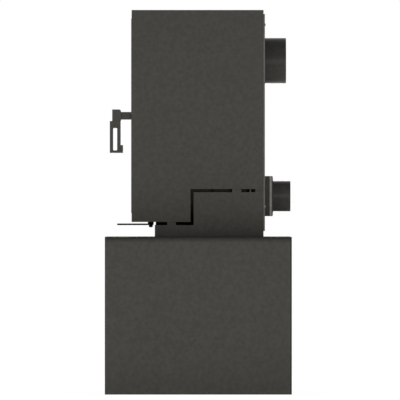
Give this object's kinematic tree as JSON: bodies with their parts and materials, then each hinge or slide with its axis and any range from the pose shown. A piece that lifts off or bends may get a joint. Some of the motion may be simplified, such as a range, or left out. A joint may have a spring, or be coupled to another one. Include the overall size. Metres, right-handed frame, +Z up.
{
  "type": "wood stove",
  "caption": "Tall steel wood stove on a stepped plinth and a wide log box, with a glazed door, a hanging loop handle, a rear flue collar and a rear combustion-air spigot.",
  "frame": {"origin": "on the floor, below the middle of the log box's footprint", "axes": "+Z up, front of the stove towards -Y, flue and air spigots towards +Y, +X to the right seen from the front"},
  "size_m": [0.9, 0.61, 1.257],
  "materials": {
    "stove_paint": "matt, finely grained high-temperature paint, warm anthracite",
    "firebox_steel": "dull black heat-proof primer",
    "blackened_steel": "satin black",
    "zinc_steel": "bright zinc plating",
    "light_gasket": "pale pressed fibre",
    "shield_sheet": "lighter grey, slightly glossier sheet",
    "lining_board": "rough pressed vermiculite",
    "cast_iron": "rough as cast",
    "fire_glass": "clear ceramic glass, faintly amber",
    "sealing_rope": "knitted glass-fibre rope",
    "bronze": "plain bronze"
  },
  "bodies": {
    "stove": {"base_shell": "stove_paint", "base_rear_panel": "stove_paint", "base_top_channels": "stove_paint", "base_panel_screws": "zinc_steel", "plinth_side_left": "stove_paint", "plinth_side_right": "stove_paint", "plinth_front": "stove_paint", "plinth_deck": "stove_paint", "plinth_rear": "stove_paint", "gap_shroud": "firebox_steel", "spacer_pads": "firebox_steel", "plinth_bolts": "zinc_steel", "side_panel_left": "stove_paint", "side_panel_right": "stove_paint", "top_plate": "stove_paint", "upper_fascia": "stove_paint", "lower_fascia": "stove_paint", "body_floor": "stove_paint", "rear_heat_shield": "shield_sheet", "zinc_screws": "zinc_steel", "firebox_side_left": "firebox_steel", "firebox_side_right": "firebox_steel", "firebox_rear": "firebox_steel", "firebox_roof": "firebox_steel", "firebox_floor": "firebox_steel", "firebox_front": "firebox_steel", "flue_collar": "stove_paint", "collar_bolts": "zinc_steel", "lining_left": "lining_board", "lining_right": "lining_board", "lining_rear": "lining_board", "lining_floor": "lining_board", "baffle_board": "lining_board", "log_retainer": "cast_iron", "ash_well": "firebox_steel", "ash_pan": "zinc_steel", "airwash_duct": "firebox_steel", "air_risers": "firebox_steel", "air_duct": "firebox_steel", "air_neck": "stove_paint", "air_neck_gasket": "light_gasket", "air_spigot": "stove_paint", "hinge_brackets": "firebox_steel", "hinge_pins": "zinc_steel", "hinge_washer": "bronze", "latch_keeper": "zinc_steel"},
    "door": {"door_frame": "stove_paint", "door_glass": "fire_glass", "glass_gasket": "sealing_rope", "glass_retainers": "firebox_steel", "retainer_screws": "zinc_steel", "door_rope_seal": "sealing_rope"},
    "handle": {"handle_spindle": "zinc_steel", "handle_head": "stove_paint", "handle_grip": "stove_paint", "latch_tongue": "zinc_steel"},
    "air_control": {"air_lever": "blackened_steel", "lever_nut": "blackened_steel", "air_valve": "zinc_steel"},
    "grate": {"grate": "cast_iron"}
  },
  "joints": [
    {"name": "door_swing", "type": "hinge", "parent": "stove", "child": "door", "pos_m": [-0.272, -0.2118, 0.91075], "axis": [0, 0, -1], "range_deg": [0, 110]},
    {"name": "handle_turn", "type": "hinge", "parent": "door", "child": "handle", "pos_m": [0.262, -0.2198, 0.91075], "axis": [0, -1, 0], "range_deg": [0, 90]},
    {"name": "air_lever_turn", "type": "hinge", "parent": "stove", "child": "air_control", "pos_m": [0, -0.1566, 0.56], "axis": [0, 0, 1], "range_deg": [-25, 25]},
    {"name": "grate_lift", "type": "slide", "parent": "stove", "child": "grate", "axis": [0, 0, 1], "range_m": [0, 0.12]}
  ]
}
